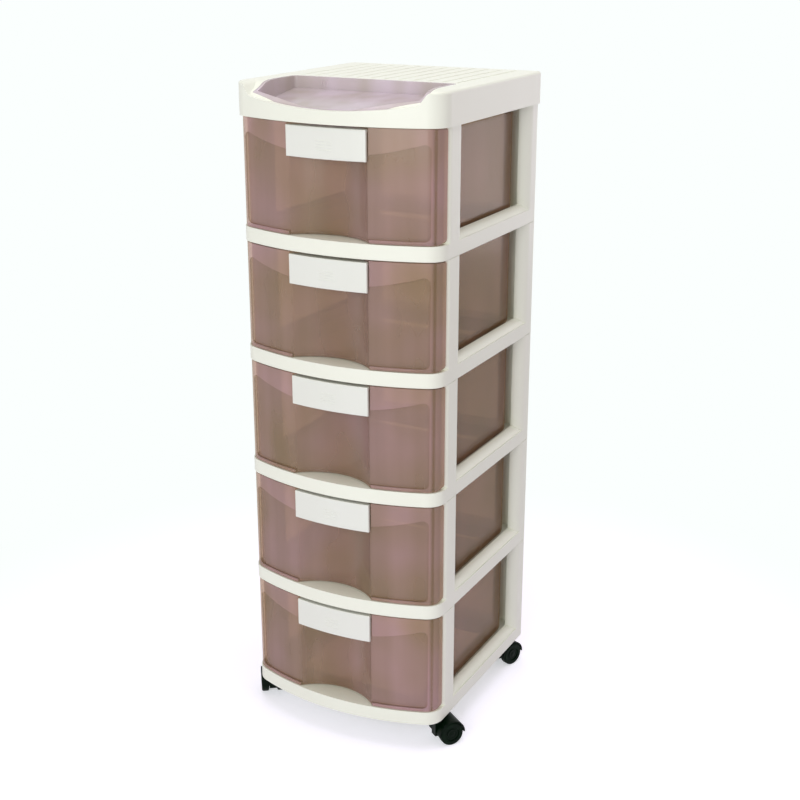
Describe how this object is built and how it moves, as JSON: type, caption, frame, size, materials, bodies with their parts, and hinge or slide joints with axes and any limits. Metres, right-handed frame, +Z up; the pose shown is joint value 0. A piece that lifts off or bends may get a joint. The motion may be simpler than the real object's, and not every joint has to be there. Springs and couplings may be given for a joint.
{
  "type": "plastic drawer tower",
  "caption": "Drawer tower with translucent bowed drawers in a cream frame, cup handles, a lift-out top tray and swivelling twin-wheel casters.",
  "frame": {"origin": "on the floor, under the middle of the tower", "axes": "+Z up, drawers open towards -Y, +X to the right seen from the front"},
  "size_m": [0.3768, 0.372, 0.992],
  "materials": {
    "frame_plastic": "satin cream moulded plastic",
    "smoky_plastic": "smoky translucent moulded plastic",
    "handle_plastic": "smooth pale moulded plastic",
    "caster_plastic": "black moulded plastic",
    "wheel_plastic": "black moulded wheel, satin tread",
    "steel": "bright zinc-plated steel"
  },
  "bodies": {
    "tower": {"tier_frame_1": "frame_plastic", "tier_frame_2": "frame_plastic", "tier_frame_3": "frame_plastic", "tier_frame_4": "frame_plastic", "tier_frame_5": "frame_plastic", "top_cover": "frame_plastic", "caster_front_right_stem": "steel", "caster_front_left_stem": "steel", "caster_rear_right_stem": "steel", "caster_rear_left_stem": "steel"},
    "drawer_1": {"drawer_1": "smoky_plastic", "handle_1": "handle_plastic"},
    "drawer_2": {"drawer_2": "smoky_plastic", "handle_2": "handle_plastic"},
    "drawer_3": {"drawer_3": "smoky_plastic", "handle_3": "handle_plastic"},
    "drawer_4": {"drawer_4": "smoky_plastic", "handle_4": "handle_plastic"},
    "drawer_5": {"drawer_5": "smoky_plastic", "handle_5": "handle_plastic"},
    "tray": {"top_tray": "smoky_plastic"},
    "caster_front_right_swivel": {"caster_front_right_housing": "caster_plastic", "caster_front_right_axle": "steel"},
    "caster_front_right_wheel_right": {"caster_front_right_wheel_right": "wheel_plastic"},
    "caster_front_right_wheel_left": {"caster_front_right_wheel_left": "wheel_plastic"},
    "caster_front_left_swivel": {"caster_front_left_housing": "caster_plastic", "caster_front_left_axle": "steel"},
    "caster_front_left_wheel_right": {"caster_front_left_wheel_right": "wheel_plastic"},
    "caster_front_left_wheel_left": {"caster_front_left_wheel_left": "wheel_plastic"},
    "caster_rear_right_swivel": {"caster_rear_right_housing": "caster_plastic", "caster_rear_right_axle": "steel"},
    "caster_rear_right_wheel_right": {"caster_rear_right_wheel_right": "wheel_plastic"},
    "caster_rear_right_wheel_left": {"caster_rear_right_wheel_left": "wheel_plastic"},
    "caster_rear_left_swivel": {"caster_rear_left_housing": "caster_plastic", "caster_rear_left_axle": "steel"},
    "caster_rear_left_wheel_right": {"caster_rear_left_wheel_right": "wheel_plastic"},
    "caster_rear_left_wheel_left": {"caster_rear_left_wheel_left": "wheel_plastic"}
  },
  "joints": [
    {"name": "drawer_1_slide", "type": "slide", "parent": "tower", "child": "drawer_1", "axis": [0, -1, 0], "range_m": [0, 0.24]},
    {"name": "drawer_2_slide", "type": "slide", "parent": "tower", "child": "drawer_2", "axis": [0, -1, 0], "range_m": [0, 0.24]},
    {"name": "drawer_3_slide", "type": "slide", "parent": "tower", "child": "drawer_3", "axis": [0, -1, 0], "range_m": [0, 0.24]},
    {"name": "drawer_4_slide", "type": "slide", "parent": "tower", "child": "drawer_4", "axis": [0, -1, 0], "range_m": [0, 0.24]},
    {"name": "drawer_5_slide", "type": "slide", "parent": "tower", "child": "drawer_5", "axis": [0, -1, 0], "range_m": [0, 0.24]},
    {"name": "tray_lift", "type": "slide", "parent": "tower", "child": "tray", "axis": [0, 0, 1], "range_m": [0, 0.1]},
    {"name": "caster_front_right_swivel", "type": "hinge", "parent": "tower", "child": "caster_front_right_swivel", "pos_m": [0.1505, -0.124, 0.041], "axis": [0, 0, 1], "continuous": true},
    {"name": "caster_front_right_wheel_right_spin", "type": "hinge", "parent": "caster_front_right_swivel", "child": "caster_front_right_wheel_right", "pos_m": [0.16049, -0.11025, 0.019], "axis": [0.809, -0.5878, 0], "continuous": true},
    {"name": "caster_front_right_wheel_left_spin", "type": "hinge", "parent": "caster_front_right_swivel", "child": "caster_front_right_wheel_left", "pos_m": [0.16049, -0.11025, 0.019], "axis": [0.809, -0.5878, 0], "continuous": true},
    {"name": "caster_front_left_swivel", "type": "hinge", "parent": "tower", "child": "caster_front_left_swivel", "pos_m": [-0.1505, -0.124, 0.041], "axis": [0, 0, 1], "continuous": true},
    {"name": "caster_front_left_wheel_right_spin", "type": "hinge", "parent": "caster_front_left_swivel", "child": "caster_front_left_wheel_right", "pos_m": [-0.16049, -0.11025, 0.019], "axis": [0.809, 0.5878, 0], "continuous": true},
    {"name": "caster_front_left_wheel_left_spin", "type": "hinge", "parent": "caster_front_left_swivel", "child": "caster_front_left_wheel_left", "pos_m": [-0.16049, -0.11025, 0.019], "axis": [0.809, 0.5878, 0], "continuous": true},
    {"name": "caster_rear_right_swivel", "type": "hinge", "parent": "tower", "child": "caster_rear_right_swivel", "pos_m": [0.136, 0.1415, 0.041], "axis": [0, 0, 1], "continuous": true},
    {"name": "caster_rear_right_wheel_right_spin", "type": "hinge", "parent": "caster_rear_right_swivel", "child": "caster_rear_right_wheel_right", "pos_m": [0.14237, 0.15726, 0.019], "axis": [0.9272, -0.3746, 0], "continuous": true},
    {"name": "caster_rear_right_wheel_left_spin", "type": "hinge", "parent": "caster_rear_right_swivel", "child": "caster_rear_right_wheel_left", "pos_m": [0.14237, 0.15726, 0.019], "axis": [0.9272, -0.3746, 0], "continuous": true},
    {"name": "caster_rear_left_swivel", "type": "hinge", "parent": "tower", "child": "caster_rear_left_swivel", "pos_m": [-0.136, 0.1415, 0.041], "axis": [0, 0, 1], "continuous": true},
    {"name": "caster_rear_left_wheel_right_spin", "type": "hinge", "parent": "caster_rear_left_swivel", "child": "caster_rear_left_wheel_right", "pos_m": [-0.14237, 0.15726, 0.019], "axis": [0.9272, 0.3746, 0], "continuous": true},
    {"name": "caster_rear_left_wheel_left_spin", "type": "hinge", "parent": "caster_rear_left_swivel", "child": "caster_rear_left_wheel_left", "pos_m": [-0.14237, 0.15726, 0.019], "axis": [0.9272, 0.3746, 0], "continuous": true}
  ]
}
